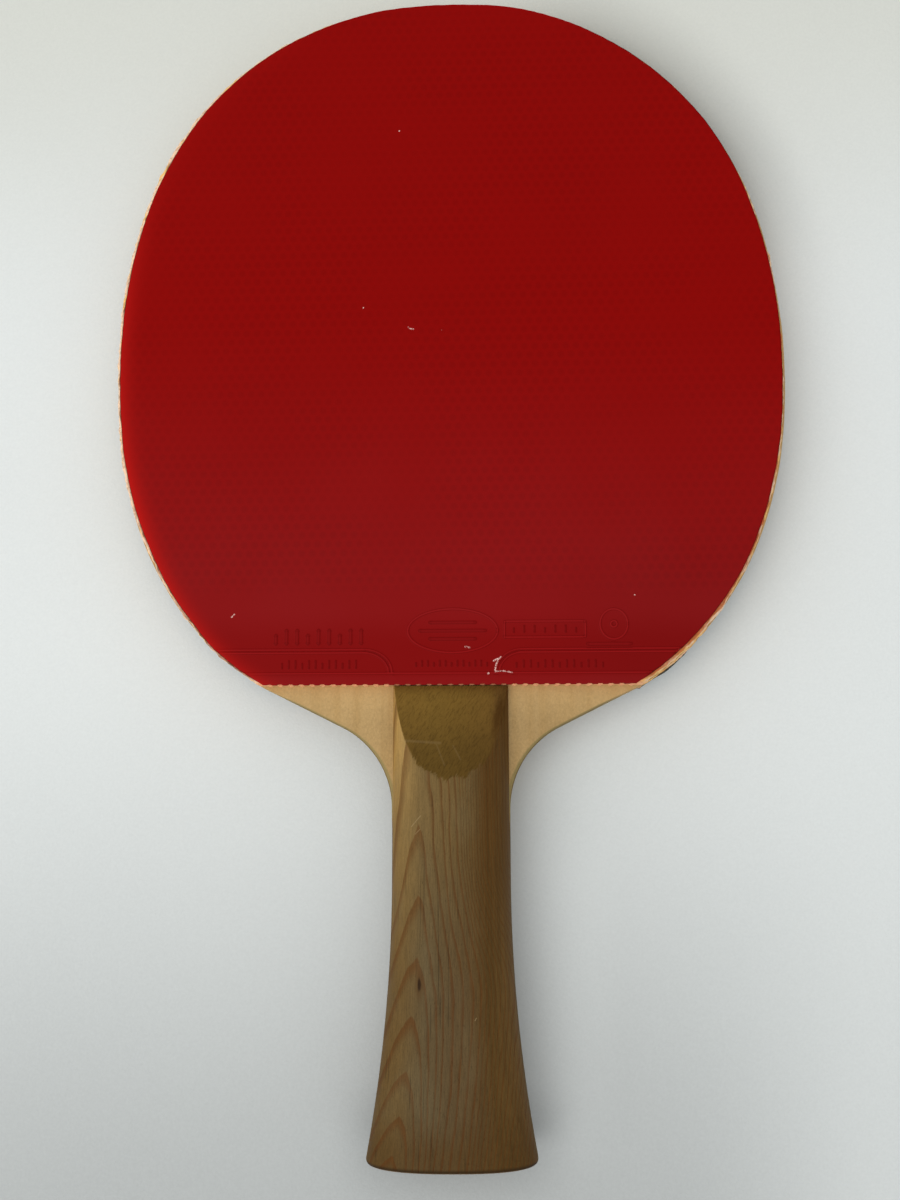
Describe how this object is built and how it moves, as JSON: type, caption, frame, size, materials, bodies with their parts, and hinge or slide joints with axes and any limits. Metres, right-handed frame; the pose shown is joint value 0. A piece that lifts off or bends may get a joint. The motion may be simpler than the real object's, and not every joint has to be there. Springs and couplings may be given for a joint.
{
  "type": "table tennis paddle",
  "caption": "Table tennis paddle with a flared handle: a plywood blade carries a smooth sponge-backed rubber sheet on each playing face.",
  "frame": {"origin": "below the middle of the paddle, level with the lowest point of the back handle scale", "axes": "+Y from the handle's butt to the top of the head, +Z out of the red playing face, +X to the right seen from the red face with the handle down"},
  "size_m": [0.151, 0.2606, 0.0244],
  "materials": {
    "red_rubber": "satin",
    "black_rubber": "satin",
    "sponge": "matte foam",
    "face_wood": "bare sanded",
    "cross_wood": "bare sanded",
    "core_wood": "bare sanded",
    "handle_wood": "worn satin"
  },
  "bodies": {
    "root": {"front_topsheet": "red_rubber", "front_sponge": "sponge", "front_face_veneer": "face_wood", "front_cross_veneer": "cross_wood", "blade_core": "core_wood", "back_cross_veneer": "cross_wood", "back_face_veneer": "face_wood", "back_sponge": "sponge", "back_topsheet": "black_rubber", "front_handle_scale": "handle_wood", "back_handle_scale": "handle_wood"}
  },
  "joints": []
}
